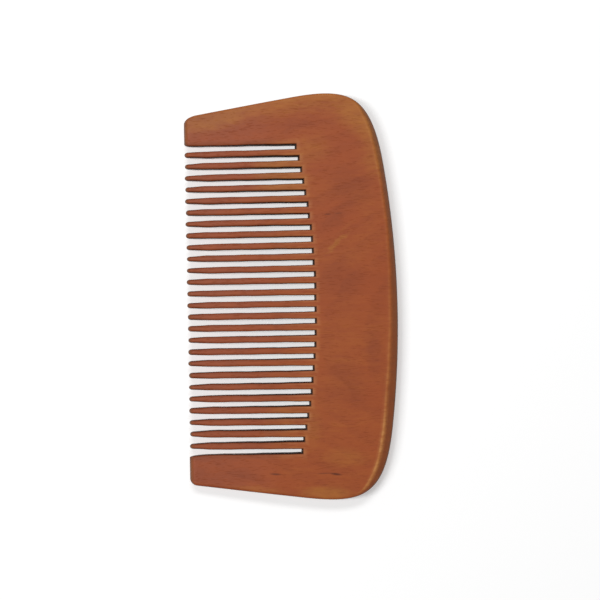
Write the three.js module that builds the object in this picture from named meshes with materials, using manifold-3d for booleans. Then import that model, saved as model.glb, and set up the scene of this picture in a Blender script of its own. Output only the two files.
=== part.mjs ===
// A pocket comb sawn from one flat board of wood, in millimetres.
// It lies flat: the teeth point along -X, the spine is towards +X and +Y runs along the
// length to the head end. The origin is under the middle of the comb's box, and +Z is up.
// The board is held as its spine, two end guards and its teeth. They meet face to face
// across the roots of the teeth, with the grain of the one board running through them.

import * as THREE from "three";
import { mergeVertices } from "three/addons/utils/BufferGeometryUtils.js";
import Module from "manifold-3d";

const { degToRad } = THREE.MathUtils;

// The outline, which is the same on both sides of its own axis.
const COMB_WIDTH = 57; // from the tips to the crown of the spine
const TIP_HALF_LENGTH = 49.8; // from the outline's axis to an end edge, along the tips
const END_SLOPE = degToRad(8.3); // the end edges spread towards the spine
const SPINE_RADIUS = 255;
const SPINE_HALF_CHORD = 36; // the spine's arc runs this far to each side of the axis
const SHOULDER_START = 30; // where an end edge begins to turn into its shoulder
const SHOULDER_PULL_END = 16.1; // how far the shoulder's curve holds the end edge's line
const SHOULDER_PULL_SPINE = 18.6; // and the line of the spine
const CORNER_ROUNDING = 2; // the outer corners of the guards
const OUTLINE_SKEW = degToRad(1); // the slots are sawn this far out of square to the axis

// The side view.
const THICKNESS = 6;
const TIP_THICKNESS = 3.2;
const TAPER_LENGTH = 22; // both faces thin over this distance from the tips
const NOSE_LENGTH = 1.3; // the rounding of the tips in the side view
const NOSE_FLAT = 0.8;
const BEVEL_WIDTH = 2.2; // the bevel along the spine, on both faces
const BEVEL_HEIGHT = 1.9;

// Teeth and slots.
const TEETH = 26;
const PITCH = 3.17;
const ROW_OFFSET = 0.17; // the slots lie this far towards the head from the outline's axis
const ROW_BOW = 0.31; // they were sawn by eye, and the middle ones are off by this much more
const SLOT_WIDTH = 1.44; // near the tips
const SLOT_END_WIDTH = 1.27;
const SLOT_DEPTH = 35; // of a slot on the middle of the comb
const SLOT_END_RADIUS = 192; // the slots end on this arc
const TOOTH_TAPER = 6.5; // a tooth narrows over this distance from its tip
const TOOTH_TIP_RADIUS = 0.7;
const GUARD_EASE_LENGTH = 1.6; // the eased inner corner of a guard
const GUARD_EASE_WIDTH = 0.7;

const CLEARANCE = 1; // how far the cutting shapes stand clear of the board
const CURVE_STEPS = 16;
const TIP_STEPS = 8;
const BEVEL_STEPS = 360;

const SLOTS = TEETH + 1;

const wasm = await Module();
wasm.setup();

function toSolid(geometry) {
  geometry.deleteAttribute("normal");
  geometry.deleteAttribute("uv");
  const merged = mergeVertices(geometry, 1e-4);
  const vertProperties = merged.attributes.position.array;
  const triVerts = Uint32Array.from(merged.index.array);
  return new wasm.Manifold(new wasm.Mesh({ numProp: 3, vertProperties, triVerts }));
}

function toGeometry(solid) {
  const { vertProperties, triVerts } = solid.getMesh();
  const geometry = new THREE.BufferGeometry();
  geometry.setAttribute("position", new THREE.BufferAttribute(vertProperties, 3));
  geometry.setIndex(new THREE.BufferAttribute(triVerts, 1));
  geometry.computeVertexNormals();
  return geometry;
}

// A plan shape as a solid that passes through the board and clears both faces.
function throughBoard(shape, curveSegments) {
  const depth = THICKNESS + 2 * CLEARANCE;
  const geometry = new THREE.ExtrudeGeometry(shape, { depth, curveSegments, bevelEnabled: false });
  return toSolid(geometry.translate(0, 0, -CLEARANCE));
}

// A point given from the outline's own axis, in the frame of the teeth.
function turned(x, y) {
  return new THREE.Vector2(x, y).rotateAround(new THREE.Vector2(), OUTLINE_SKEW);
}

// The end edge on one side, +1 for the head and -1 for the foot: its Y at a given X.
function endEdge(side, x) {
  const point = turned(0, side * TIP_HALF_LENGTH);
  return point.y + (x - point.x) * Math.tan(side * END_SLOPE + OUTLINE_SKEW);
}

// The curve of one shoulder, from the end edge to the spine's arc.
function shoulder(side) {
  const startY = TIP_HALF_LENGTH + SHOULDER_START * Math.tan(END_SLOPE);
  const half = Math.asin(SPINE_HALF_CHORD / SPINE_RADIUS);
  const endX = COMB_WIDTH - SPINE_RADIUS * (1 - Math.cos(half));
  const pulledX = SHOULDER_START + SHOULDER_PULL_END * Math.cos(END_SLOPE);
  const pulledY = startY + SHOULDER_PULL_END * Math.sin(END_SLOPE);
  const pushedX = endX - SHOULDER_PULL_SPINE * Math.sin(half);
  const pushedY = SPINE_HALF_CHORD + SHOULDER_PULL_SPINE * Math.cos(half);
  return {
    start: turned(SHOULDER_START, side * startY),
    afterStart: turned(pulledX, side * pulledY),
    beforeEnd: turned(pushedX, side * pushedY),
    end: turned(endX, side * SPINE_HALF_CHORD),
  };
}

function outlineShape() {
  const foot = shoulder(-1);
  const head = shoulder(1);
  const arcCentre = turned(COMB_WIDTH - SPINE_RADIUS, 0);
  const half = Math.asin(SPINE_HALF_CHORD / SPINE_RADIUS);
  const footY = endEdge(-1, 0);
  const headY = endEdge(1, 0);
  const shape = new THREE.Shape();
  shape.moveTo(-CLEARANCE, footY + CORNER_ROUNDING);
  shape.lineTo(0, footY + CORNER_ROUNDING);
  shape.quadraticCurveTo(0, footY, CORNER_ROUNDING, endEdge(-1, CORNER_ROUNDING));
  shape.lineTo(foot.start.x, foot.start.y);
  shape.bezierCurveTo(
    foot.afterStart.x, foot.afterStart.y, foot.beforeEnd.x, foot.beforeEnd.y, foot.end.x, foot.end.y,
  );
  shape.absarc(arcCentre.x, arcCentre.y, SPINE_RADIUS, OUTLINE_SKEW - half, OUTLINE_SKEW + half);
  shape.bezierCurveTo(
    head.beforeEnd.x, head.beforeEnd.y, head.afterStart.x, head.afterStart.y, head.start.x, head.start.y,
  );
  shape.lineTo(CORNER_ROUNDING, endEdge(1, CORNER_ROUNDING));
  shape.quadraticCurveTo(0, headY, 0, headY - CORNER_ROUNDING);
  shape.lineTo(-CLEARANCE, headY - CORNER_ROUNDING);
  return shape;
}

// The board in the side view: flat faces that thin towards a rounded nose at the tips.
function boardSolid() {
  const middle = THICKNESS / 2;
  const noseTop = middle + TIP_THICKNESS / 2;
  const noseBottom = middle - TIP_THICKNESS / 2;
  const back = COMB_WIDTH + CLEARANCE;
  const shape = new THREE.Shape();
  shape.moveTo(back, 0);
  shape.lineTo(back, THICKNESS);
  shape.lineTo(TAPER_LENGTH, THICKNESS);
  shape.lineTo(NOSE_LENGTH, noseTop);
  shape.quadraticCurveTo(0, noseTop, 0, middle + NOSE_FLAT / 2);
  shape.lineTo(0, middle - NOSE_FLAT / 2);
  shape.quadraticCurveTo(0, noseBottom, NOSE_LENGTH, noseBottom);
  shape.lineTo(TAPER_LENGTH, 0);
  const depth = 3 * TIP_HALF_LENGTH;
  const geometry = new THREE.ExtrudeGeometry(shape, {
    depth,
    curveSegments: TIP_STEPS,
    bevelEnabled: false,
  });
  return toSolid(geometry.rotateX(Math.PI / 2).translate(0, depth / 2, 0));
}

// A disc round the centre of the spine's arc, whose two coned faces leave the bevels.
function bevelSolid() {
  const rise = BEVEL_WIDTH / BEVEL_HEIGHT;
  const faceRadius = SPINE_RADIUS - BEVEL_WIDTH;
  const profile = [
    new THREE.Vector2(0, -CLEARANCE),
    new THREE.Vector2(faceRadius - CLEARANCE * rise, -CLEARANCE),
    new THREE.Vector2(faceRadius + (THICKNESS / 2) * rise, THICKNESS / 2),
    new THREE.Vector2(faceRadius - CLEARANCE * rise, THICKNESS + CLEARANCE),
    new THREE.Vector2(0, THICKNESS + CLEARANCE),
  ];
  const centre = turned(COMB_WIDTH - SPINE_RADIUS, 0);
  const geometry = new THREE.LatheGeometry(profile, BEVEL_STEPS);
  return toSolid(geometry.rotateX(Math.PI / 2).translate(centre.x, centre.y, 0));
}

// Slots are numbered from the head end, like the teeth.
function slotY(index) {
  const fromMiddle = TEETH / 2 - index;
  const bow = ROW_BOW * (1 - (fromMiddle / (TEETH / 2)) ** 2);
  return ROW_OFFSET + fromMiddle * PITCH + bow;
}

function slotDepth(index) {
  const drop = SLOT_END_RADIUS - Math.sqrt(SLOT_END_RADIUS ** 2 - slotY(index) ** 2);
  return SLOT_DEPTH - drop;
}

// The tooth after slot `index`: it narrows a little from its root, then more to a round tip.
function toothShape(index) {
  const top = slotY(index) - SLOT_WIDTH / 2;
  const bottom = slotY(index + 1) + SLOT_WIDTH / 2;
  const middle = (top + bottom) / 2;
  const shape = new THREE.Shape();
  shape.moveTo(slotDepth(index), slotY(index) - SLOT_END_WIDTH / 2);
  shape.lineTo(TOOTH_TAPER, top);
  shape.lineTo(TOOTH_TIP_RADIUS, middle + TOOTH_TIP_RADIUS);
  shape.absarc(TOOTH_TIP_RADIUS, middle, TOOTH_TIP_RADIUS, Math.PI / 2, 1.5 * Math.PI);
  shape.lineTo(TOOTH_TAPER, bottom);
  shape.lineTo(slotDepth(index + 1), slotY(index + 1) + SLOT_END_WIDTH / 2);
  return shape;
}

// A guard, from the outermost slot to beyond the end edge, which the outline then cuts.
function guardShape(side) {
  const index = side > 0 ? 0 : SLOTS - 1;
  const root = slotDepth(index);
  const inner = slotY(index) + (side * SLOT_WIDTH) / 2;
  const outer = endEdge(side, root) + side * CLEARANCE;
  const shape = new THREE.Shape();
  shape.moveTo(root, slotY(index) + (side * SLOT_END_WIDTH) / 2);
  shape.lineTo(root, outer);
  shape.lineTo(-CLEARANCE, outer);
  shape.lineTo(-CLEARANCE, inner + side * GUARD_EASE_WIDTH);
  shape.lineTo(0, inner + side * GUARD_EASE_WIDTH);
  shape.quadraticCurveTo(0, inner, GUARD_EASE_LENGTH, inner);
  return shape;
}

// Everything behind the roots: its inner edge steps along the square ends of the slots.
function spineShape() {
  const back = COMB_WIDTH + CLEARANCE;
  const shape = new THREE.Shape();
  shape.moveTo(back, endEdge(-1, back) - CLEARANCE);
  shape.lineTo(back, endEdge(1, back) + CLEARANCE);
  shape.lineTo(slotDepth(0), endEdge(1, back) + CLEARANCE);
  for (let index = 0; index < SLOTS; index += 1) {
    shape.lineTo(slotDepth(index), slotY(index) + SLOT_END_WIDTH / 2);
    shape.lineTo(slotDepth(index), slotY(index) - SLOT_END_WIDTH / 2);
  }
  shape.lineTo(slotDepth(SLOTS - 1), endEdge(-1, back) - CLEARANCE);
  return shape;
}

const blank = boardSolid().intersect(throughBoard(outlineShape(), CURVE_STEPS)).intersect(bevelSolid());
const comb = new THREE.Group();

function addPiece(name, shape) {
  const wood = new THREE.MeshStandardMaterial({ color: "#9b5030", roughness: 0.45, metalness: 0 });
  wood.flatShading = true;
  const mesh = new THREE.Mesh(toGeometry(blank.intersect(throughBoard(shape, TIP_STEPS))), wood);
  mesh.name = name;
  comb.add(mesh);
}

addPiece("spine", spineShape());
addPiece("end_guard_head", guardShape(1));
addPiece("end_guard_foot", guardShape(-1));
for (let tooth = 1; tooth <= TEETH; tooth += 1) {
  addPiece("tooth_" + String(tooth).padStart(2, "0"), toothShape(tooth - 1));
}

const centre = new THREE.Box3().setFromObject(comb).getCenter(new THREE.Vector3());
comb.position.set(-centre.x, -centre.y, 0);

export default comb;
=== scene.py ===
"""The look of a wooden pocket comb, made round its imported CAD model.

The comb is one board. Its spine, end guards and teeth are separate meshes here, as in the CAD, and
they share the points along their seams, so that the board and its grain run through unbroken.
Shapes are worked out in millimetres, in the frame of the CAD, and become metres in make_piece.
Each mesh starts as a sheet, the upper half of its surface above the comb's middle plane.
"""

import math

import bmesh
import bpy
import numpy as np
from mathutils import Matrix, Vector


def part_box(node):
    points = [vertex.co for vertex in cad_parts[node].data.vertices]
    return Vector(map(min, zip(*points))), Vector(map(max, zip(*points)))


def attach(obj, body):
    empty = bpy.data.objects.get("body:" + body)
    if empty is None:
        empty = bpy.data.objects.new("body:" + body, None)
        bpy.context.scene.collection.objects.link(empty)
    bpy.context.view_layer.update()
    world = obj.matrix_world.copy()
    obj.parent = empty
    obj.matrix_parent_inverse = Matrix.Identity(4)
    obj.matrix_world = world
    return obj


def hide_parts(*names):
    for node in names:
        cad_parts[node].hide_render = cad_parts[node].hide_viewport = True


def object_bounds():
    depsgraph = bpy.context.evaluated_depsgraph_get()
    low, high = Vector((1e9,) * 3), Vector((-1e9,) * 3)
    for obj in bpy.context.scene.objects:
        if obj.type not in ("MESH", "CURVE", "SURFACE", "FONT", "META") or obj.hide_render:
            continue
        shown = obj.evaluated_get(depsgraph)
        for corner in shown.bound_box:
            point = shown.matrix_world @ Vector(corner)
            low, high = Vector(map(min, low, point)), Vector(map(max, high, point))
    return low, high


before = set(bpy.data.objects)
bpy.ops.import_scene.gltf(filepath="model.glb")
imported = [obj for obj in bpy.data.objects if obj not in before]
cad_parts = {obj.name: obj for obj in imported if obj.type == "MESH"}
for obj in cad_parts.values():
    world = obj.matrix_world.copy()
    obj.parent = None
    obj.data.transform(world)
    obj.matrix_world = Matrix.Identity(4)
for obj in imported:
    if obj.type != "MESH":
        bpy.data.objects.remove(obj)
cad_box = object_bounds()

MM = 0.001  # metres in a millimetre
SEED = 26

# The outline, which is the same on both sides of its own axis.
TIP_HALF_LENGTH = 49.8  # from the axis to an end edge, along the line of the tips
END_SLOPE = math.radians(8.3)  # the end edges spread towards the spine
OUTLINE_SKEW = math.radians(1.0)  # the slots are sawn this far out of square to the axis
SPINE_RADIUS = 255.0
SPINE_HALF_CHORD = 36.0
SHOULDER_START = 30.0  # from the tips
SHOULDER_PULL_END = 16.1
SHOULDER_PULL_SPINE = 18.6
CORNER_LENGTH_HEAD = 3.4  # a guard's outer corner is rounded over this length
CORNER_LENGTH_FOOT = 1.9
CORNER_WIDTH = 1.8

# The edges. A bevel follows the spine and dies out round the shoulders.
BEVEL_CHANGE_LENGTH = 45.0  # it changes from its foot form to its head form over this length
BEVEL_WIDTH_FOOT = 2.7
BEVEL_WIDTH_HEAD = 2.0
BEVEL_DROP = 2.0
BEVEL_LOWER = (0, 0.2)  # its corners, on the way from the wall (0, 0) to the face (1, 1)
BEVEL_UPPER = (0.93, 1.0)
BEVEL_ROUNDS = (0.2, 0.07)  # how far from each corner the bevel turns flat
BEVEL_CRISPNESS_FOOT = 0.75
BEVEL_CRISPNESS_HEAD = 0.35
BEVEL_REACH_FOOT = 7.5  # the bevel is gone where the outline is this far inside the spine's circle
BEVEL_REACH_HEAD = 4.5
BEVEL_RIPPLES = ((0.06, 5.3, 0.7), (0.04, 2.1, 2.0))  # amplitude, length / 2 pi, phase
END_EASING = 0.75
ARRIS_PLACE, ARRIS_SPREAD = 0.98, 0.12  # the arris is the bevel's upper corner
WEAR_AND_HIGHLIGHT_Y = (-48.0, -40.0, -30.0, -12.0, 10.0, 50.0)  # how much the arris is rubbed and painted with a highlight, along the comb
WEAR_AND_HIGHLIGHT = (1.3, 1.7, 0.75, 0.45, 0.2, 0.45)
SLOT_EASING = 0.36
SLOT_ARRIS_PLACE, SLOT_ARRIS_SPREAD = 0.85, 0.3
MOST_EASED = 0.9  # an eased edge takes at most this share of half the thickness

# The side view.
TIP_HALF_THICKNESS = 1.6
TAPER_LENGTH = 23.0
TAPER_POWER = 1.25
NOSE_LENGTH = 1.5

# Teeth and guards.
ROW_OFFSET = 0.17  # the slots lie this far towards the head from the outline's axis
TOOTH_TAPER = 6.5
TOOTH_TIP_HALF_WIDTH = 0.7
TIP_WIDTH_VARIES = (0.9, 1.1)
TOOTH_NOSE = 0.85
ROOT_SWELL = 0.085  # each side of a tooth's root stands out this far
ROOT_LENGTH = 10.0
HEAD_LEAN = -0.1  # the tips of the first tooth lean this far towards the head
FOOT_LEAN = 0.2  # and the tips of the last one
LEAN_VARIES = (0.7, 1.3)
GUARD_LEAN = 0.5  # as a share of a tooth's
TIP_BLEND = 6.0  # the edges ease into round tips over this distance
TIP_ROUNDNESS = 0.65  # share of a tip's half width and half thickness that is rounded
GUARD_EASE_LENGTH_HEAD = 1.6  # a guard's inner corner is eased over this length
GUARD_EASE_LENGTH_FOOT = 4.5
GUARD_EASE_WIDTH = 0.7
GUARD_TIP_ROUND = 0.8  # its inner side is rounded at the tip like a tooth of this half width
SAW_WANDER = 0.05  # how far a sawn edge strays
END_WANDER = 0.1  # and a slot's end
SAW_WAVES = ((0.03, 1.9, 7.0), (0.015, 0.83, 11.0))  # amplitude, length / 2 pi, phase per mm of Y
SAW_WAVE_FADE = 4.0
TIP_WANDER = 0.1  # how far the tips are out of line
FOOT_TIP_SHIFT = 0.2  # the foot guard's tip stands out this far
TIP_SHIFT_REACH = 5.0
SAW_SLANT = 0.45  # a slot is this much shorter at the lower face, where the round saw came through
SLANT_REACH = 4.0  # the wood on both sides of a slot's end follows it over this distance

# How finely the surfaces are divided.
TIP_STATIONS = 8
LONG_STATIONS = 24
TIP_SHARE = 0.05  # of a member's length, for the stations round the tip
STATION_GROWTH = 1.2  # the others lie further apart towards the root
ROUND_STEPS = 5  # across the eased edge of a slot
BEVEL_CORNER_STEPS = 4
BEVEL_FACE_STEPS = 3
TOOTH_FLATS = 3
GUARD_FLATS = 8
SLOT_FLATS = 2
SPINE_ROWS = 24
OUTLINE_SAMPLES = 400
WELD = 5e-7  # metres

# What use and sanding have left on the surfaces, with painted shade and painted highlights.
SAWN_AND_SHADE_AT_TIP = 0.4  # the slots' dark walls, sawn wood with painted shade, are painted lighter near the tips, where more light reaches in
SAWN_AND_SHADE_LENGTH = 28.0
TOOTH_GRIME_AND_SHADE = 0.26  # how dark the sides' eased edges are painted where they meet the faces: grime and painted shade
GRIME_AND_SHADE_FADE = 9.0  # the grime and painted shade give out over this distance before the root
SLOT_WEAR_AND_HIGHLIGHT = 0.5  # how far these edges are rubbed pale and painted with a highlight at the root
SLOT_WEAR_AND_HIGHLIGHT_REACH = 16.0  # and the distance from the root where that begins
GLOW_REACH = 8.0  # the head's edge is painted golden over this distance: painted light where it catches the lamp, and golden wood
GLOW_STRIDE = 10  # this distance is measured to every tenth point of the outline
SANDING_DEPTH = 0.004  # as a share of half the thickness
SANDING_X = (7.1, 1.3)  # its waves along X and Y: length / 2 pi, phase
SANDING_Y = (9.7, 0.4)
SANDING_SLANTED = (3.9, 6.3, 0.6)  # length / 2 pi along X and Y, height beside the others

# The wood. Its grain runs along the teeth, so it changes slowly in X and fast in Y and Z.
RED_WOOD = (0.37, 0.078, 0.019, 1)
GOLD_WOOD = (0.43, 0.142, 0.026, 1)
DARK_WOOD = (0.24, 0.052, 0.019, 1)
PORE_BROWN = (0.06, 0.014, 0.008, 1)
# worn wood, and a painted highlight along the arrises and slot edges
WORN_AND_HIGHLIT_WOOD = (0.56, 0.24, 0.075, 1)
# dark sawn wood, darkened further as painted shade inside the slots
SAWN_AND_SHADE_BROWN = (0.045, 0.018, 0.01, 1)
END_GRAIN_BROWN = (0.23, 0.085, 0.032, 1)
RIM_SHADE_AND_GRIME_BROWN = (0.05, 0.02, 0.01, 1)  # painted shade on the walls, with oil and dust
# Noise fields: frequency per millimetre along X, Y and Z, detail, roughness.
NOISES = {
    "clouds": ((0.03, 0.055, 0.055), 3.0, 0.55),
    "shades": ((0.05, 0.16, 0.16), 4.0, 0.6),
    "streaks": ((0.11, 1.6, 1.6), 4.0, 0.6),
    "mottle": ((0.3, 0.9, 0.9), 4.0, 0.65),
    "fibres": ((0.45, 6.0, 6.0), 2.0, 0.5),
    "pore_field": ((0.5, 5.5, 5.5), 0.0, 0.5),
}
SWAY = ((0.045, 0.09, 0.09), (0.0, 3.0, 3.0))  # how the grain wanders: frequency, reach in mm
MARK_EDGES = ((0.3, 0.7, 0.7), (3.0, 2.0, 0.0))  # the same for the outlines of the marks
RING_WOBBLE = ((0.05, 0.11, 0.11), 5.0)
# How much of each field goes into a look, and the two levels between which the look sets in.
GOLDEN = {
    "clouds": 0.9,
    "shades": 0.5,
    "streaks": 0.35,
    "mottle": 0.5,
    "glow": 0.85,
    "tipward": -0.3,
    "gold": 1.0,
}
GOLDEN_LEVELS = (0.94, 2.24)
DUSKY = {
    "rings": 0.13,
    "shades": -0.6,
    "streaks": -0.3,
    "mottle": -0.5,
    "fibres": -0.3,
    "tipward": 0.3,
    "dark": 0.6,
}
DUSKY_LEVELS = (-1.12, -0.02)
PORES = {"pore_field": 1.0, "rings": 0.06}
PORE_LEVELS = (0.70, 0.78)
ROUGHNESS = {"fibres": 0.12, "shades": 0.12, "pores": 0.15, "sawn": 0.25, "wear_and_highlight": -0.08}
ROUGHNESS_BASE = 0.36
HEIGHT = {"fibres": 0.012, "streaks": 0.03, "shades": 0.12, "pores": -0.03}
BUMP_STRENGTH = 0.7
SPECULAR = 0.24
GLOW_BASE = 0.5  # the head's painted light and golden wood along its edge are mottled round this level
PATCHES = (0.3, 0.7)  # levels of the mottle between which the end grain changes
END_GRAIN_FACING = (0.2, 0.8)  # a surface that faces along the grain this much shows end grain
RIM_FACING = (0.25, 0.75)  # and one that faces up this little is a wall
# How far each look covers the wood under it.
DUSKY_COVER = 0.8
PORE_COVER = 0.13
END_GRAIN_COVER = (0.95, 0.6)  # in the hollows and on the crests of the mottle
WORN_AND_HIGHLIT_COVER = 0.8
WORN_AND_HIGHLIT_PATCHES = (0.28, 0.66, 0.4, 1.0)  # from this to this level of the mottle, from this to all
RIM_COVER = 0.6
SAWN_AND_SHADE_COVER = 0.85
TIPWARD_REACH = 30.0  # painted shade darkens and reddens the teeth over this distance from the tips
PITH_Y = -12.0  # the tree's axis lies under the lower face and slopes
PITH_DEPTH = 44.0
PITH_SLOPE = -0.34
RING_SPACING = 3.6
RING_RISE = (0.1, 0.85)  # from one ring's edge to the next
RING_FALL = (0.88, 1.0)
SPOT_DEPTH = 5.0
SPOT_EDGE = 0.8  # a mark is full from here to its centre
# Marks in the upper face: centre, half length and half width, turn in degrees, strength.
# A gold mark of negative strength is a redder place.
DARK_MARKS = [
    ((16.5, 30.0), (9.0, 7.0), 0, 0.5),
    ((12.0, 21.0), (8.0, 3.2), 38, 0.5),
    ((13.0, 5.0), (9.0, 10.0), 0, 0.45),
    ((22.0, -15.0), (3.0, 8.0), 0, 0.4),
    ((14.0, -23.0), (8.0, 11.0), 0, 0.4),
    ((-14.0, -48.0), (7.0, 2.5), -4, 0.3),
    # painted shade on the foot guard's tapered tip
    ((-26.0, -46.5), (4.0, 4.5), 0, 0.2),
    ((2.0, 47.0), (7.0, 3.0), 8, 0.3),
]
GOLD_MARKS = [
    ((12.5, 14.5), (7.0, 0.9), 42, 0.6),
    ((14.5, 18.5), (5.0, 0.8), 36, 0.4),
    ((-20.5, 48.6), (12.0, 5.0), 10, 0.8),
    ((-3.0, 33.0), (11.0, 10.0), 0, 0.9),
    ((6.0, 39.5), (8.0, 6.0), 10, 0.5),
    ((18.0, 48.0), (8.0, 6.0), -30, 0.4),
    ((4.5, -35.0), (4.0, 8.0), 0, 0.35),
    ((-4.0, -34.0), (8.0, 9.0), 0, 0.4),
    ((-12.0, -51.6), (15.0, 1.6), -7.3, 0.5),
    ((8.0, -53.0), (10.0, 2.6), -4, 0.9),
    ((13.5, -43.8), (9.0, 4.0), 0, 0.4),
    ((12.0, 20.0), (10.0, 8.0), 0, -0.4),
]
FLECKS = [
    ((10.9, -48.0), (2.2, 0.45), -8, 0.75),
    ((7.7, -47.75), (3.0, 0.3), 2, 0.4),
    ((-5.4, -47.7), (2.2, 0.4), -4, 0.6),
    ((10.0, 22.2), (1.4, 0.35), 3, 0.45),
    ((13.0, 22.4), (1.6, 0.35), 3, 0.3),
]

# The studio, in metres.
FLOOR_HALF_SIZE = 2.0
FLOOR_ALBEDO = 0.7
FLOOR_GLOW = 0.42
LAMP_DISTANCE = 1.0
# Name, width, depth, power, azimuth, elevation. The depth lies along the line of the azimuth.
LAMPS = [
    ("key", 0.12, 0.45, 5.0, 176, 62),
    ("upper_fill", 0.5, 0.2, 3.6, 95, 60),
]
WORLD_STRENGTH = 0.15
CAMERA_DISTANCE = 0.45
CAMERA_SHIFT = (0.0021, -0.0008)
CAMERA_ROLL = math.radians(-1.15)
FRAME_WIDTH = 0.162

TEETH = sorted(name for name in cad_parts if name.startswith("tooth_"))
MEMBERS = ["end_guard_head", *TEETH, "end_guard_foot"]
LOW, HIGH = (np.array(corner) / MM for corner in cad_box)
TIP_X = LOW[0]
COMB_WIDTH = HIGH[0] - LOW[0]
HALF_THICKNESS = (HIGH[2] - LOW[2]) / 2
MIDDLE_Z = (HIGH[2] + LOW[2]) / 2

random = np.random.default_rng(SEED)


def box_mm(node):
    low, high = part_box(node)
    return np.array(low) / MM, np.array(high) / MM


def lerp(a, b, share):
    return a + (b - a) * share


def smooth(share):
    share = np.clip(share, 0, 1)
    return share * share * (3 - 2 * share)


def nose(distance, length):
    """1 beyond `length` from the tip, falling to 0 at the tip along a quarter of an ellipse."""
    return np.sqrt(1 - (1 - np.clip(distance / length, 0, 1)) ** 2)


# ---------------------------------------------------------------- the slots, from the frame


def read_slots():
    """Each slot's upper edge, lower edge and end, with the small wander of a hand-held saw."""
    slots = []
    for above, below in zip(MEMBERS, MEMBERS[1:]):
        above_low, above_high = box_mm(above)
        below_low, below_high = box_mm(below)
        wander = random.uniform(-1, 1, 3) * (SAW_WANDER, SAW_WANDER, END_WANDER)
        end = min(above_high[0], below_high[0])
        slots.append(np.array([above_low[1], below_high[1], end]) + wander)
    return slots


SLOTS = read_slots()
ROW_HEAD_Y = box_mm("end_guard_head")[0][1]
ROW_FOOT_Y = box_mm("end_guard_foot")[1][1]
AXIS_Y = (ROW_HEAD_Y + ROW_FOOT_Y) / 2 - ROW_OFFSET
ARC_HALF = math.asin(SPINE_HALF_CHORD / SPINE_RADIUS)


# ---------------------------------------------------------------- the outline


def turned(points):
    """Points given from the outline's own axis, in the frame of the comb."""
    x, y = np.asarray(points, float).T
    c, s = math.cos(OUTLINE_SKEW), math.sin(OUTLINE_SKEW)
    return np.stack([TIP_X + x * c - y * s, AXIS_Y + x * s + y * c], axis=-1)


ARC_CENTRE = turned([(COMB_WIDTH - SPINE_RADIUS, 0)])[0]


def half_outline():
    """From the tips to the crown of the spine, on the head side of the axis."""
    t = np.linspace(0, 1, OUTLINE_SAMPLES)[:, None]
    start = np.array([SHOULDER_START, TIP_HALF_LENGTH + SHOULDER_START * math.tan(END_SLOPE)])
    end_x = COMB_WIDTH - SPINE_RADIUS * (1 - math.cos(ARC_HALF))
    end = np.array([end_x, SPINE_HALF_CHORD])
    pulled = start + SHOULDER_PULL_END * np.array([math.cos(END_SLOPE), math.sin(END_SLOPE)])
    pushed = end + SHOULDER_PULL_SPINE * np.array([-math.sin(ARC_HALF), math.cos(ARC_HALF)])
    edge = lerp(np.array([0, TIP_HALF_LENGTH]), start, t)
    shoulder = (
        (1 - t) ** 3 * start
        + 3 * t * (1 - t) ** 2 * pulled
        + 3 * t**2 * (1 - t) * pushed
        + t**3 * end
    )
    angle = ARC_HALF * (1 - t[:, 0])
    arc_x = COMB_WIDTH - SPINE_RADIUS * (1 - np.cos(angle))
    arc = np.stack([arc_x, SPINE_RADIUS * np.sin(angle)], axis=-1)
    return np.concatenate([edge[:-1], shoulder[:-1], arc])


class Outline:
    """The outside of the comb, measured along itself from the head tips round to the foot tips."""

    def __init__(self):
        head = half_outline()
        foot = head[::-1] * (1, -1)
        self.points = turned(np.concatenate([head, foot[1:]]))
        steps = np.linalg.norm(np.diff(self.points, axis=0), axis=1)
        self.along = np.concatenate([[0], np.cumsum(steps)])
        tangent = np.gradient(self.points, self.along, axis=0)
        tangent /= np.linalg.norm(tangent, axis=1)[:, None]
        self.inward = np.stack([tangent[:, 1], -tangent[:, 0]], axis=-1)
        self.crown = int(np.argmax(self.points[:, 0]))

    def at(self, along):
        """Points and inward directions at these distances along the outline."""
        return self._read(self.points, along), self._read(self.inward, along)

    def _read(self, values, along):
        return np.stack([np.interp(along, self.along, values[:, i]) for i in (0, 1)], axis=-1)

    def end_edge(self, side, x):
        """The outline's Y at x, on the head side (+1) or the foot side (-1)."""
        part = slice(None, self.crown) if side > 0 else slice(None, self.crown, -1)
        return np.interp(x, self.points[part, 0], self.points[part, 1])

    def where_x(self, side, x):
        part = slice(None, self.crown) if side > 0 else slice(None, self.crown, -1)
        return float(np.interp(x, self.points[part, 0], self.along[part]))

    def shoulder_middle(self, side):
        """Where the outline faces halfway between along the comb and away from the tips."""
        lean = self.inward[:, 0] + side * self.inward[:, 1]
        part = slice(None, self.crown) if side > 0 else slice(self.crown, None)
        return self.along[part][int(np.argmin(lean[part]))]


outline = Outline()


# ---------------------------------------------------------------- the edges


def rounded_profile(steps):
    """A quarter circle from the wall (0, 0) to the face (1, 1), as inset and rise."""
    angle = np.linspace(0, math.pi / 2, steps + 1)
    return np.stack([1 - np.cos(angle), np.sin(angle)], axis=-1)


def bevel_profile():
    """A bevel from the wall (0, 0) to the face (1, 1), with a small round at each of its corners."""
    lower, upper = np.array(BEVEL_LOWER), np.array(BEVEL_UPPER)
    slope = (upper - lower) / np.linalg.norm(upper - lower)
    leave, arrive = lower + BEVEL_ROUNDS[0] * slope, upper - BEVEL_ROUNDS[1] * slope
    t = np.linspace(0, 1, BEVEL_CORNER_STEPS + 1)[:, None]
    first = (1 - t) ** 2 * np.zeros(2) + 2 * t * (1 - t) * lower + t**2 * leave
    last = (1 - t) ** 2 * arrive + 2 * t * (1 - t) * upper + t**2 * np.ones(2)
    face = lerp(leave, arrive, np.linspace(0, 1, BEVEL_FACE_STEPS + 1)[:, None])
    return np.concatenate([first, face[1:-1], last])


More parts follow.
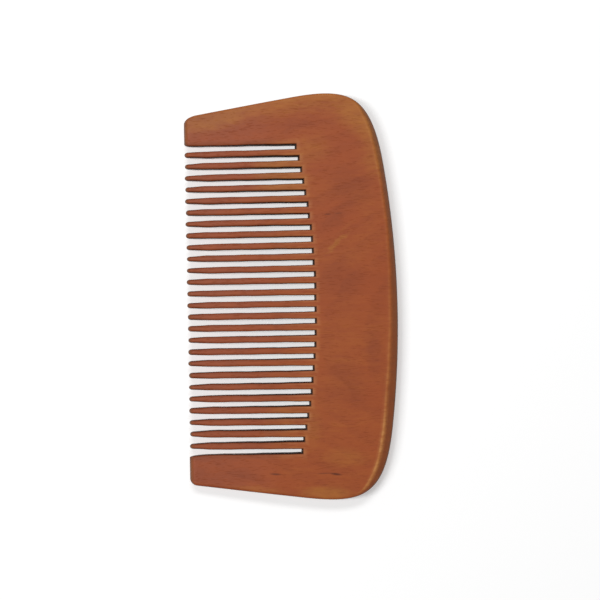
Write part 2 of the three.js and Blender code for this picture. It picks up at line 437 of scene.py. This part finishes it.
FACE_MARGIN = np.array([(1.12, 1.0), (1.35, 1.0)])  # lines on the face, alongside the edge
BEVEL = np.concatenate([bevel_profile(), FACE_MARGIN])
EDGE_ROUND = np.concatenate([rounded_profile(len(BEVEL) - 3), FACE_MARGIN])
SLOT_ROUND = rounded_profile(ROUND_STEPS)
# Wear and a painted highlight show as a narrow light line where an eased edge meets the face.
ARRIS = np.exp(-(((BEVEL[:, 0] - ARRIS_PLACE) / ARRIS_SPREAD) ** 2))
SLOT_ARRIS = np.exp(-(((SLOT_ROUND[:, 0] - SLOT_ARRIS_PLACE) / SLOT_ARRIS_SPREAD) ** 2))
# the sawn darkness and its painted shade are full on the wall and gone on the face
SLOT_SAWN_AND_SHADE = np.linspace(1, 0, ROUND_STEPS + 1)


def edge_style(points):
    """The outer edge's width, drop, profile and wear with its painted highlight at these points of
    the outline.
    """
    x, y = points[..., 0], points[..., 1]
    headward = smooth((y - AXIS_Y) / BEVEL_CHANGE_LENGTH + 0.5)
    inside = SPINE_RADIUS - np.hypot(x - ARC_CENTRE[0], y - ARC_CENTRE[1])
    reach = lerp(BEVEL_REACH_FOOT, BEVEL_REACH_HEAD, headward)
    share = smooth(1 - inside / reach)
    ripple = sum(high * np.sin(y / length + phase) for high, length, phase in BEVEL_RIPPLES)
    bevel = lerp(BEVEL_WIDTH_FOOT, BEVEL_WIDTH_HEAD, headward) + ripple
    width = lerp(END_EASING, bevel, share)
    drop = lerp(END_EASING, BEVEL_DROP, share)
    crisp = share * lerp(BEVEL_CRISPNESS_FOOT, BEVEL_CRISPNESS_HEAD, headward)
    profile = lerp(EDGE_ROUND, BEVEL, crisp[..., None, None])
    rubbed_and_lit = np.interp(y, WEAR_AND_HIGHLIGHT_Y, WEAR_AND_HIGHLIGHT)
    wear_and_highlight = ARRIS * (np.sqrt(share) * rubbed_and_lit)[..., None]
    return width, drop, profile, wear_and_highlight


def half_thickness(distance):
    """From the middle plane to a face, at this distance from the tips."""
    left = 1 - np.clip(distance / TAPER_LENGTH, 0, 1)
    face = lerp(HALF_THICKNESS, TIP_HALF_THICKNESS, left**TAPER_POWER)
    return face * nose(distance, NOSE_LENGTH)


# ---------------------------------------------------------------- sheets of teeth and guards


def swell(root, x):
    """How much narrower a side of a tooth is at x than at its root."""
    return ROOT_SWELL * smooth((root - x) / ROOT_LENGTH)


def lean(y, root, x):
    """How far the saw has turned towards the head at x, growing from nothing at the root."""
    footward = smooth((ROW_HEAD_Y - y) / (ROW_HEAD_Y - ROW_FOOT_Y))
    away = np.clip((root - x) / (root - TIP_X), 0, 1)
    return lerp(HEAD_LEAN, FOOT_LEAN, footward) * away


def wave(y, root, x):
    """The wave of a sawn side, with nothing at its ends."""
    free = smooth(np.minimum(x - TIP_X, root - x) / SAW_WAVE_FADE)
    return free * sum(high * np.sin(x / length + phase * y) for high, length, phase in SAW_WAVES)


class SlotSide:
    """The side of a tooth or guard that faces a slot.

    `straight` gives its Y at an X before the waves of the saw, and `room` how wide it may be rounded.
    """

    def __init__(self, facing, slot, straight, room):
        self.facing, self.straight, self.room = facing, straight, room
        self.edge_y = slot[0] if facing < 0 else slot[1]
        self.root = slot[2]
        self.ends = self.root + SLOT_EASING * SLOT_ROUND[:, 0]

    def line(self, x):
        return self.straight(x) + wave(self.edge_y, self.root, x)

    def rows(self, x, index):
        distance = x - TIP_X
        tip = smooth(1 - distance / TIP_BLEND)
        inset = lerp(SLOT_EASING, TIP_ROUNDNESS * self.room(x), tip)
        drop = lerp(SLOT_EASING, TIP_ROUNDNESS * half_thickness(distance), tip)
        drop = np.minimum(drop, MOST_EASED * half_thickness(distance))
        return inset * SLOT_ROUND[index, 0], drop * (1 - SLOT_ROUND[index, 1])

    def looks(self, x, index):
        # the slot walls are painted darker towards the root, as shade deeper in the slot
        deep = lerp(SAWN_AND_SHADE_AT_TIP, 1, smooth((x - TIP_X) / SAWN_AND_SHADE_LENGTH) ** 2)
        # grime and painted shade along the eased edges
        grime_and_shade = TOOTH_GRIME_AND_SHADE * smooth((self.root - x) / GRIME_AND_SHADE_FADE)
        # the edges are rubbed pale near the root, partly as a painted highlight
        wear_and_highlight = SLOT_WEAR_AND_HIGHLIGHT * SLOT_ARRIS[index] * smooth(1 - (self.root - x) / SLOT_WEAR_AND_HIGHLIGHT_REACH)
        return wear_and_highlight, np.maximum(SLOT_SAWN_AND_SHADE[index] * deep, grime_and_shade)


class OuterSide:
    """The outer side of a guard, along an end edge of the outline."""

    def __init__(self, facing, end_x):
        self.facing = facing
        self.ends = np.full(len(BEVEL), end_x)

    def line(self, x):
        length = CORNER_LENGTH_HEAD if self.facing > 0 else CORNER_LENGTH_FOOT
        near = CORNER_WIDTH * (1 - nose(x - TIP_X, length))
        return outline.end_edge(self.facing, x) - self.facing * near

    def rows(self, x, index):
        points = np.stack([x, outline.end_edge(self.facing, x)], axis=-1)
        width, drop, profile, _ = edge_style(points)
        tilt = math.cos(END_SLOPE + self.facing * OUTLINE_SKEW)
        drop = np.minimum(drop, MOST_EASED * half_thickness(x - TIP_X))
        return width / tilt * profile[:, index, 0], drop * (1 - profile[:, index, 1])

    def looks(self, x, index):
        return np.zeros_like(x), np.zeros_like(x)


def stations():
    """Shares of the way from the tip to the root, close together round the tip."""
    tip = TIP_SHARE * (1 - np.cos(np.linspace(0, math.pi / 2, TIP_STATIONS + 1)))
    rest = lerp(TIP_SHARE, 1.0, np.linspace(0, 1, LONG_STATIONS + 1) ** STATION_GROWTH)
    return np.concatenate([tip, rest[1:]])


def side_lines(side):
    """The lines of one side from its wall to the face: X, Y, Z, wear with its painted highlight, and
    saw marks with painted shade.
    """
    lines = []
    for index, end in enumerate(side.ends):
        x = TIP_X + (end - TIP_X) * stations()
        inset, fall = side.rows(x, index)
        y = side.line(x) - side.facing * inset
        z = half_thickness(x - TIP_X) - fall
        lines.append(np.stack([x, y, z, *side.looks(x, index)], axis=-1))
    return lines


def member_sheet(upper, lower, flats):
    """A tooth or guard: its rows run across it and follow one another from the tip to the root."""
    top, bottom = side_lines(upper), side_lines(lower)
    middle = []
    for step in range(1, flats):
        line = lerp(top[-1], bottom[-1], step / flats)
        line[:, 2] = half_thickness(line[:, 0] - TIP_X)
        line[:, 3:] = 0
        middle.append(line)
    return np.stack([*top, *middle, *bottom[::-1]], axis=1)


def shift_tip(sheet, shift):
    """Moves a tip outwards, away from the spine."""
    near = smooth(1 - (sheet[..., 0] - TIP_X) / TIP_SHIFT_REACH)
    sheet[..., 0] -= shift * near
    return sheet


def tooth_sheet(above, below):
    """The tooth between two slots."""
    upper_y, lower_y, root = above[1], below[0], min(above[2], below[2])
    middle_y, root_half = (upper_y + lower_y) / 2, (upper_y - lower_y) / 2
    tip_half = TOOTH_TIP_HALF_WIDTH * random.uniform(*TIP_WIDTH_VARIES)
    turn = random.uniform(*LEAN_VARIES)

    def half(x):
        taper = smooth(1 - (x - TIP_X) / TOOTH_TAPER)
        return lerp(root_half - swell(root, x), tip_half, taper) * nose(x - TIP_X, TOOTH_NOSE)

    def middle(x):
        return middle_y + turn * lean(middle_y, root, x)

    upper = SlotSide(+1, above, lambda x: middle(x) + half(x), half)
    lower = SlotSide(-1, below, lambda x: middle(x) - half(x), half)
    sheet = member_sheet(upper, lower, TOOTH_FLATS)
    return shift_tip(sheet, random.uniform(-TIP_WANDER, TIP_WANDER))


def guard_sheet(side):
    """The wide outer tooth on the head side (+1) or the foot side (-1)."""
    slot = SLOTS[0] if side > 0 else SLOTS[-1]
    edge_y = slot[0] if side > 0 else slot[1]
    root = slot[2]
    length = GUARD_EASE_LENGTH_HEAD if side > 0 else GUARD_EASE_LENGTH_FOOT

    def line(x):
        eased = GUARD_EASE_WIDTH * (1 - nose(x - TIP_X, length))
        return edge_y + side * (eased + swell(root, x)) + GUARD_LEAN * lean(edge_y, root, x)

    inner = SlotSide(-side, slot, line, lambda x: np.full_like(x, GUARD_TIP_ROUND))
    outer = OuterSide(side, root + SLOT_EASING)
    if side > 0:
        return member_sheet(outer, inner, GUARD_FLATS)
    return shift_tip(member_sheet(inner, outer, GUARD_FLATS), FOOT_TIP_SHIFT)


# ---------------------------------------------------------------- sheets of the spine


def slot_end_sheet(slot):
    """The eased edge along the square end of a slot, mitred to the teeth on both sides."""
    upper_y, lower_y, end = slot
    share = np.linspace(0, 1, SLOT_FLATS + 1)
    inset, rise = SLOT_EASING * SLOT_ROUND.T
    sheet = np.zeros((ROUND_STEPS + 1, SLOT_FLATS + 1, 5))
    sheet[..., 0] = (end + inset)[:, None]
    sheet[..., 1] = lerp((upper_y + inset)[:, None], (lower_y - inset)[:, None], share)
    sheet[..., 2] = (HALF_THICKNESS - SLOT_EASING + rise)[:, None]
    # the end's edge is rubbed pale, partly as a painted highlight
    sheet[..., 3] = SLOT_WEAR_AND_HIGHLIGHT * SLOT_ARRIS[:, None]
    # the end's wall is dark sawn wood with painted shade
    sheet[..., 4] = SLOT_SAWN_AND_SHADE[:, None]
    return sheet


def outer_edge_sheet(head, foot, side_columns):
    """The bevel and eased edge from one guard's root round to the other's."""
    root_head = outline.where_x(+1, head[-1, 0, 0])
    root_foot = outline.where_x(-1, foot[-1, -1, 0])
    turns = [outline.shoulder_middle(+1), outline.shoulder_middle(-1)]
    along = np.concatenate([
        np.linspace(root_head, turns[0], SPINE_ROWS + 1)[:-1],
        np.linspace(turns[0], turns[1], side_columns + 1)[:-1],
        np.linspace(turns[1], root_foot, SPINE_ROWS + 1),
    ])
    points, inward = outline.at(along)
    width, drop, profile, wear_and_highlight = edge_style(points)
    plan = points[:, None] + inward[:, None] * (width[:, None] * profile[..., 0])[..., None]
    z = HALF_THICKNESS - drop[:, None] * (1 - profile[..., 1])
    sheet = np.concatenate([plan, z[..., None], wear_and_highlight[..., None], 0 * z[..., None]], axis=-1)
    sheet[0] = head[-1, : len(BEVEL)]
    sheet[-1] = foot[-1, : -len(BEVEL) - 1 : -1]
    return sheet


def spine_face_sheet(root, edge):
    """The flat face, filled in between the line of the roots and the line of the bevel."""
    columns, rows = len(root), SPINE_ROWS
    head, back, foot = edge[: rows + 1], edge[rows : rows + columns], edge[rows + columns - 1 :]
    foot = foot[::-1]
    u = np.linspace(0, 1, rows + 1)[:, None, None]
    v = np.linspace(0, 1, columns)[None, :, None]
    across = lerp(root[None], back[None], u)
    down = lerp(head[:, None], foot[:, None], v)
    corners = lerp(lerp(root[0], back[0], u), lerp(root[-1], back[-1], u), v)
    sheet = across + down - corners
    sheet[..., 2] = HALF_THICKNESS
    sheet[1:-1, 1:-1, 3:] = 0
    return sheet


def build_sheets():
    """Every mesh's sheets by the name of its CAD node."""
    head, foot = guard_sheet(+1), guard_sheet(-1)
    teeth = [tooth_sheet(above, below) for above, below in zip(SLOTS, SLOTS[1:])]
    ends = [slot_end_sheet(slot) for slot in SLOTS]
    inner = slice(ROUND_STEPS, -ROUND_STEPS)
    root = [head[-1, len(BEVEL) - 1 : -ROUND_STEPS]]
    for end, tooth in zip(ends, teeth):
        root += [end[-1, 1:], tooth[-1, inner][1:]]
    root += [ends[-1][-1, 1:], foot[-1, ROUND_STEPS : -len(BEVEL) + 1][1:]]
    root = np.concatenate(root)
    edge = outer_edge_sheet(head, foot, len(root) - 1)
    sheets = {"end_guard_head": [head], "end_guard_foot": [foot]}
    sheets["spine"] = [spine_face_sheet(root, edge[:, -1]), edge, *ends]
    for name, tooth in zip(TEETH, teeth):
        sheets[name] = [tooth]
    return sheets


# ---------------------------------------------------------------- meshes


def unevenness(x, y):
    """How far hand sanding has taken a face down, as a share of half the thickness."""
    (length_x, phase_x), (length_y, phase_y) = SANDING_X, SANDING_Y
    broad = math.sin(x / length_x + phase_x) * math.sin(y / length_y + phase_y)
    slant_x, slant_y, share = SANDING_SLANTED
    slanted = share * math.sin(x / slant_x + y / slant_y)
    return SANDING_DEPTH * (1 + (broad + slanted) / (1 + share)) / 2


def head_glow(x, y):
    """1 on the head's end edge and shoulder, 0 beyond GLOW_REACH from it: painted light and golden
    wood.
    """
    rim = outline.points[: 2 * OUTLINE_SAMPLES : GLOW_STRIDE]  # up to the end of the shoulder
    distance = np.sqrt(((np.array([x, y]) - rim) ** 2).sum(axis=-1).min())
    return smooth(1 - distance / GLOW_REACH)


def saw_slant(x, y, height):
    """How far a point moves towards the tips because the slots end on a slant."""
    centres = [(slot[0] + slot[1]) / 2 for slot in reversed(SLOTS)]
    end = np.interp(y, centres, [slot[2] for slot in reversed(SLOTS)])
    near = smooth(1 - abs(x - end) / SLANT_REACH)
    return SAW_SLANT * near * (HALF_THICKNESS - height) / (2 * HALF_THICKNESS)


def plan_area(sheet):
    """Signed area of a sheet seen from above."""
    a, b = sheet[1:, 1:, :2] - sheet[:-1, :-1, :2], sheet[1:, :-1, :2] - sheet[:-1, 1:, :2]
    return float((a[..., 0] * b[..., 1] - a[..., 1] * b[..., 0]).sum())


def add_sheet(mesh, layers, sheet, on_seam):
    """Adds a sheet's points and quads, facing up. on_seam says which points lie on a seam."""
    if plan_area(sheet) < 0:
        sheet, on_seam = sheet[::-1], on_seam[::-1]
    rows, columns = sheet.shape[:2]
    grid = []
    for point, seam in zip(sheet.reshape(-1, 5), on_seam.ravel()):
        x, y, z, wear_and_highlight, sawn = (float(value) for value in point)
        vert = mesh.verts.new((x * MM, y * MM, z * (1 - unevenness(x, y)) * MM))
        vert[layers["wear_and_highlight"]], vert[layers["sawn"]], vert[layers["seam"]] = wear_and_highlight, sawn, float(seam)
        vert[layers["glow"]] = head_glow(x, y)
        grid.append(vert)
    for r in range(rows - 1):
        for c in range(columns - 1):
            a = r * columns + c
            mesh.faces.new((grid[a], grid[a + 1], grid[a + columns + 1], grid[a + columns]))


def add_lower_half(mesh, layers):
    """Mirrors the sheet below the middle plane and walls the two halves together."""
    rim = []
    for edge in mesh.edges:
        if edge.is_boundary:
            loop = edge.link_loops[0]
            rim.append((loop.vert, loop.link_loop_next.vert))
    faces = list(mesh.faces)
    below = {}
    for vert in list(mesh.verts):
        twin = mesh.verts.new((vert.co.x, vert.co.y, -vert.co.z))
        for layer in layers.values():
            twin[layer] = vert[layer]
        below[vert] = twin
    for face in faces:
        mesh.faces.new([below[vert] for vert in reversed(face.verts)])
    caps = []
    for start, end in rim:
        wall = mesh.faces.new((start, below[start], below[end], end))
        if start[layers["seam"]] and end[layers["seam"]]:
            caps.append(wall)
    return caps


def make_piece(node, sheets, material):
    """One mesh from its sheets, standing for the CAD node of that name."""
    mesh = bmesh.new()
    layers = {name: mesh.verts.layers.float.new(name) for name in ("wear_and_highlight", "sawn", "glow", "seam")}
    for sheet, on_seam in sheets:
        add_sheet(mesh, layers, sheet, on_seam)
    bmesh.ops.remove_doubles(mesh, verts=mesh.verts, dist=WELD)
    caps = add_lower_half(mesh, layers)
    for face in mesh.faces:
        face.smooth = True
    for cap in caps:
        cap.smooth = False
        for edge in cap.edges:
            edge.smooth = False
    bmesh.ops.remove_doubles(mesh, verts=mesh.verts, dist=WELD)
    for vert in mesh.verts:
        vert.co.x -= saw_slant(*(vert.co / MM)) * MM
        vert.co.z += MIDDLE_Z * MM
    mesh.verts.layers.float.remove(layers["seam"])
    data = bpy.data.meshes.new("comb_" + node)
    mesh.to_mesh(data)
    mesh.free()
    data.materials.append(material)
    piece = bpy.data.objects.new("comb_" + node, data)
    bpy.context.scene.collection.objects.link(piece)
    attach(piece, "root")
    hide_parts(node)
    return piece


def seam_points(node, index, sheet):
    """Which of a sheet's points lie where this mesh meets another."""
    seam = np.zeros(sheet.shape[:2], bool)
    if node != "spine":
        seam[-1] = True
    elif index == 0:
        seam[0] = True
    elif index == 1:
        seam[[0, -1]] = True
    else:
        seam[:, [0, -1]] = True
    return seam


# ---------------------------------------------------------------- looks


class Graph:
    """Adds nodes to a material. A value is a number, a tuple or another node's output."""

    def __init__(self, name):
        self.material = bpy.data.materials.new(name)
        self.material.use_nodes = True
        self.nodes = self.material.node_tree.nodes
        self.links = self.material.node_tree.links
        self.shader = self.nodes["Principled BSDF"]

    def feed(self, socket, value):
        if isinstance(value, bpy.types.NodeSocket):
            self.links.new(value, socket)
        else:
            socket.default_value = value

    def add(self, kind, inputs, **settings):
        node = self.nodes.new(kind)
        for name, value in settings.items():
            setattr(node, name, value)
        for socket, value in inputs.items():
            self.feed(node.inputs[socket], value)
        return node

    def maths(self, operation, a, b=0.0):
        return self.add("ShaderNodeMath", {0: a, 1: b}, operation=operation).outputs[0]

    def times(self, a, b):
        return self.maths("MULTIPLY", a, b)

    def plus(self, a, b):
        return self.maths("ADD", a, b)

    def weighted(self, fields, weights):
        """The sum of the fields, each times its weight."""
        total = 0.0
        for name, weight in weights.items():
            total = self.plus(total, self.times(fields[name], weight))
        return total

    def band(self, value, low, high, out_low=0.0, out_high=1.0):
        """Runs smoothly from out_low to out_high as the value goes from low to high."""
        inputs = {
            "Value": value,
            "From Min": low,
            "From Max": high,
            "To Min": out_low,
            "To Max": out_high,
        }
        node = self.add("ShaderNodeMapRange", inputs, interpolation_type="SMOOTHSTEP")
        return node.outputs["Result"]

    def vector(self, operation, a, b):
        return self.add("ShaderNodeVectorMath", {0: a, 1: b}, operation=operation).outputs[0]

    def noise(self, where, frequency, detail=3.0, roughness=0.5, output="Fac"):
        """Noise from 0 to 1, with its frequency along X, Y and Z."""
        inputs = {
            "Vector": self.vector("MULTIPLY", where, frequency),
            "Scale": 1.0,
            "Detail": detail,
            "Roughness": roughness,
        }
        return self.add("ShaderNodeTexNoise", inputs).outputs[output]

    def strayed(self, where, frequency, reach):
        """The same places, moved by noise by up to about a quarter of `reach`."""
        noise = self.noise(where, frequency, output="Color")
        offset = self.vector("SUBTRACT", noise, (0.5, 0.5, 0.5))
        return self.vector("ADD", where, self.vector("MULTIPLY", offset, reach))

    def blend(self, share, a, b):
        node = self.add("ShaderNodeMix", {}, data_type="RGBA", clamp_factor=True)
        self.feed(node.inputs["Factor"], share)
        self.feed(node.inputs[6], a)
        self.feed(node.inputs[7], b)
        return node.outputs[2]

    def attribute(self, name):
        return self.add("ShaderNodeAttribute", {}, attribute_name=name).outputs["Fac"]

    def spots(self, where, rows):
        """The rows' soft ovals, each times its strength, added together."""
        total = 0.0
        for centre, size, turn, strength in rows:
            total = self.plus(total, self.times(self.spot(where, centre, size, turn), strength))
        return total

    def spot(self, where, centre, size, turn):
        """A soft oval near the upper face, 1 at its centre."""
        inputs = {
            "Vector": where,
            "Location": (*centre, 2 * HALF_THICKNESS),
            "Rotation": (0, 0, math.radians(turn)),
            "Scale": (*size, SPOT_DEPTH),
        }
        placed = self.add("ShaderNodeMapping", inputs, vector_type="TEXTURE").outputs[0]
        gradient = self.add("ShaderNodeTexGradient", {"Vector": placed}, gradient_type="SPHERICAL")
        return self.band(gradient.outputs["Fac"], 0.0, SPOT_EDGE)


def growth_rings(graph, grain):
    """The year rings, cut at a slant by the faces. 1 is the dark late wood at a ring's edge."""
    x, y, z = graph.add("ShaderNodeSeparateXYZ", {"Vector": grain}).outputs
    aside = graph.plus(y, -PITH_Y)
    under = graph.plus(graph.plus(z, PITH_DEPTH), graph.times(x, PITH_SLOPE))
    squares = graph.plus(graph.times(aside, aside), graph.times(under, under))
    frequency, reach = RING_WOBBLE
    wobble = graph.times(graph.noise(grain, frequency), reach)
    radius = graph.plus(graph.maths("SQRT", squares), wobble)
    phase = graph.maths("FRACT", graph.times(radius, 1 / RING_SPACING))
    rise = graph.band(phase, *RING_RISE)
    fall = graph.band(phase, *RING_FALL, 1.0, 0.0)
    return graph.times(rise, fall)


def facing(graph):
    """How far the surface shows end grain, and how far it is a wall."""
    normal = graph.add("ShaderNodeTexCoord", {}).outputs["Normal"]
    x, _, z = graph.add("ShaderNodeSeparateXYZ", {"Vector": normal}).outputs
    end_grain = graph.band(graph.maths("ABSOLUTE", x), *END_GRAIN_FACING)
    # a wall is painted darker: painted shade, with some grime
    rim = graph.band(graph.maths("ABSOLUTE", z), *RIM_FACING, 1.0, 0.0)
    return end_grain, rim


def wood_fields(graph):
    """Everything that varies over the wood, by name."""
    metres = graph.add("ShaderNodeTexCoord", {}).outputs["Object"]
    place = graph.vector("MULTIPLY", metres, (1 / MM, 1 / MM, 1 / MM))
    grain = graph.strayed(place, *SWAY)
    fields = {name: graph.noise(grain, *noise) for name, noise in NOISES.items()}
    fields["rings"] = growth_rings(graph, grain)
    fields["pores"] = graph.band(graph.weighted(fields, PORES), *PORE_LEVELS)
    # the wear mask carries painted highlights and the sawn mask carries painted shade
    for name in ("wear_and_highlight", "sawn"):
        fields[name] = graph.attribute(name)
    # painted light and golden wood along the head's edge
    fields["glow"] = graph.times(graph.attribute("glow"), graph.plus(fields["mottle"], GLOW_BASE))
    x = graph.add("ShaderNodeSeparateXYZ", {"Vector": place}).outputs["X"]
    # painted shade towards the tips
    fields["tipward"] = graph.band(x, TIP_X, TIP_X + TIPWARD_REACH, 1.0, 0.0)
    frayed = graph.strayed(place, *MARK_EDGES)
    fields["gold"] = graph.spots(frayed, GOLD_MARKS)
    fields["dark"] = graph.spots(frayed, DARK_MARKS)
    fields["flecks"] = graph.spots(place, FLECKS)
    fields["end_grain"], fields["rim"] = facing(graph)
    return fields


def wood_colour(graph, fields):
    """The looks of the wood, each laid over the ones before."""
    mottle = fields["mottle"]
    golden = graph.band(graph.weighted(fields, GOLDEN), *GOLDEN_LEVELS)
    dusky = graph.band(graph.weighted(fields, DUSKY), *DUSKY_LEVELS)
    patches = graph.band(mottle, *PATCHES, *END_GRAIN_COVER)
    end_grain = graph.times(fields["end_grain"], patches)
    worn_and_highlit = graph.times(fields["wear_and_highlight"], graph.band(mottle, *WORN_AND_HIGHLIT_PATCHES))
    layers = [
        (graph.times(dusky, DUSKY_COVER), DARK_WOOD),
        (graph.times(fields["pores"], PORE_COVER), PORE_BROWN),
        (fields["flecks"], PORE_BROWN),
        (end_grain, END_GRAIN_BROWN),
        # worn edges with a painted highlight
        (graph.times(worn_and_highlit, WORN_AND_HIGHLIT_COVER), WORN_AND_HIGHLIT_WOOD),
        # walls darkened with painted shade and grime
        (graph.times(fields["rim"], RIM_COVER), RIM_SHADE_AND_GRIME_BROWN),
        # dark sawn walls with painted shade
        (graph.times(fields["sawn"], SAWN_AND_SHADE_COVER), SAWN_AND_SHADE_BROWN),
    ]
    colour = graph.blend(golden, RED_WOOD, GOLD_WOOD)
    for cover, over in layers:
        colour = graph.blend(cover, colour, over)
    return colour


def wood_material():
    """Reddish wood, oiled and rubbed: rings, fibres, pores, worn arrises and sawn slots, with painted
    highlights and painted shade.
    """
    graph = Graph("reddish_wood")
    fields = wood_fields(graph)
    inputs = graph.shader.inputs
    graph.feed(inputs["Base Color"], wood_colour(graph, fields))
    roughness = graph.plus(graph.weighted(fields, ROUGHNESS), ROUGHNESS_BASE)
    graph.feed(inputs["Roughness"], roughness)
    inputs["Specular IOR Level"].default_value = SPECULAR
    relief = {
        "Height": graph.weighted(fields, HEIGHT),
        "Distance": MM,
        "Strength": BUMP_STRENGTH,
    }
    graph.feed(inputs["Normal"], graph.add("ShaderNodeBump", relief).outputs[0])
    return graph.material


def floor():
    data = bpy.data.meshes.new("floor")
    half = FLOOR_HALF_SIZE
    corners = [(-half, -half, 0), (half, -half, 0), (half, half, 0), (-half, half, 0)]
    data.from_pydata(corners, [], [(0, 1, 2, 3)])
    piece = bpy.data.objects.new("floor", data)
    bpy.context.scene.collection.objects.link(piece)
    pale = bpy.data.materials.new("pale_floor")
    pale.use_nodes = True
    shader = pale.node_tree.nodes["Principled BSDF"]
    shader.inputs["Base Color"].default_value = (FLOOR_ALBEDO, FLOOR_ALBEDO, FLOOR_ALBEDO, 1)
    shader.inputs["Roughness"].default_value = 1.0
    shader.inputs["Specular IOR Level"].default_value = 0.0
    shader.inputs["Emission Color"].default_value = (1, 1, 1, 1)
    shader.inputs["Emission Strength"].default_value = FLOOR_GLOW
    data.materials.append(pale)


def soft_box(name, width, depth, power, azimuth, elevation):
    """A rectangular lamp aimed at the comb."""
    lamp = bpy.data.lights.new(name, "AREA")
    lamp.shape = "RECTANGLE"
    lamp.size, lamp.size_y = width, depth
    lamp.energy = power
    piece = bpy.data.objects.new(name, lamp)
    turn, rise = math.radians(azimuth), math.radians(elevation)
    flat = math.cos(rise)
    piece.location = (
        LAMP_DISTANCE * flat * math.cos(turn),
        LAMP_DISTANCE * flat * math.sin(turn),
        LAMP_DISTANCE * math.sin(rise),
    )
    piece.rotation_euler = (math.radians(90) - rise, 0, turn + math.radians(90))
    bpy.context.scene.collection.objects.link(piece)


def lights():
    for lamp in LAMPS:
        soft_box(*lamp)
    world = bpy.data.worlds.new("studio")
    world.use_nodes = True
    background = world.node_tree.nodes["Background"]
    background.inputs["Color"].default_value = (1, 1, 1, 1)
    background.inputs["Strength"].default_value = WORLD_STRENGTH
    bpy.context.scene.world = world


def camera():
    data = bpy.data.cameras.new("camera")
    data.lens = data.sensor_width * CAMERA_DISTANCE / FRAME_WIDTH
    view = bpy.data.objects.new("camera", data)
    low, high = (np.array(corner) for corner in cad_box)
    middle = (low + high) / 2
    x, y = middle[:2] + CAMERA_SHIFT
    view.location = (x, y, high[2] + CAMERA_DISTANCE)
    view.rotation_euler = (0, 0, CAMERA_ROLL)
    bpy.context.scene.collection.objects.link(view)
    bpy.context.scene.camera = view
    bpy.context.scene.view_settings.view_transform = "Standard"


camera()
floor()
lights()
wood = wood_material()
for node, sheets in build_sheets().items():
    marked = [(sheet, seam_points(node, i, sheet)) for i, sheet in enumerate(sheets)]
    make_piece(node, marked, wood)
